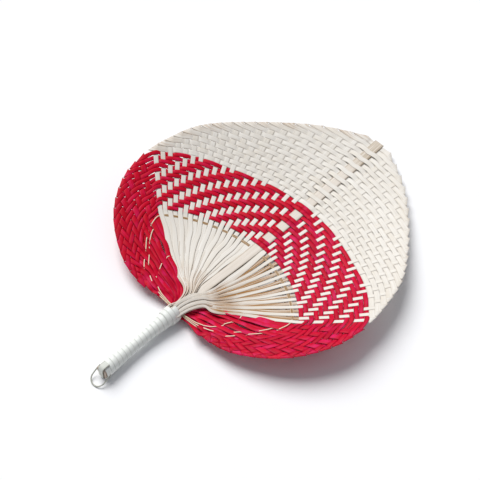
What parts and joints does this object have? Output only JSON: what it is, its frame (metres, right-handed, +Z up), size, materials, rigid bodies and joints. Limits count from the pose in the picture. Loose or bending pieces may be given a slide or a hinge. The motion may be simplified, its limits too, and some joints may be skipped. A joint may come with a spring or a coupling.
{
  "type": "woven hand fan",
  "caption": "Palm-leaf shaped hand fan woven from red and natural bamboo strips on a centre rib, with a bound handle and a small hanging loop.",
  "frame": {"origin": "Middle of the fan's box on the table plane it lies on, with the hollow side of the blade up.", "axes": "+Y runs from the handle to the tip, the longest extent. +Z is up, the shortest extent. +X completes a right-handed frame across the blade."},
  "size_m": [0.2688, 0.3586, 0.0283],
  "materials": {
    "natural_strip": "split bamboo strip, undyed, satin",
    "red_strip": "split bamboo strip, dyed red, satin",
    "centre_rib": "flat bamboo splint with faint nodes",
    "splint": "thin bamboo splint, raw",
    "handle_core": "raw cut wood",
    "binding": "pale flat plastic strip, satin",
    "hanging_loop": "stiff grey nylon line"
  },
  "bodies": {
    "fan": {"natural_strip_01": "natural_strip", "natural_strip_02": "natural_strip", "natural_strip_03": "natural_strip", "natural_strip_04": "natural_strip", "natural_strip_05": "natural_strip", "natural_strip_06": "natural_strip", "natural_strip_07": "natural_strip", "natural_strip_08": "natural_strip", "natural_strip_09": "natural_strip", "natural_strip_10": "natural_strip", "natural_strip_11": "natural_strip", "natural_strip_12": "natural_strip", "natural_strip_13": "natural_strip", "natural_strip_14": "natural_strip", "natural_strip_15": "natural_strip", "natural_strip_16": "natural_strip", "natural_strip_17": "natural_strip", "natural_strip_18": "natural_strip", "natural_strip_19": "natural_strip", "red_strip_01": "red_strip", "red_strip_02": "red_strip", "red_strip_03": "red_strip", "red_strip_04": "red_strip", "red_strip_05": "red_strip", "red_strip_06": "red_strip", "red_strip_07": "red_strip", "red_strip_08": "red_strip", "red_strip_09": "red_strip", "red_strip_10": "red_strip", "red_strip_11": "red_strip", "red_strip_12": "red_strip", "red_strip_13": "red_strip", "red_strip_14": "red_strip", "centre_rib": "centre_rib", "outer_hoop": "splint", "middle_hoop": "splint", "inner_hoop": "splint", "left_natural_bundle": "natural_strip", "right_natural_bundle": "natural_strip", "left_red_bundle": "red_strip", "right_red_bundle": "red_strip", "handle_core": "handle_core", "handle_binding": "binding", "neck_collar": "binding", "butt_fold": "binding"},
    "loop": {"hanging_loop": "hanging_loop"}
  },
  "joints": [
    {"name": "loop_swing", "type": "hinge", "parent": "fan", "child": "loop", "pos_m": [0, -0.16421, 0.0084], "axis": [1, 0, 0], "range_deg": [-120, 65]}
  ]
}
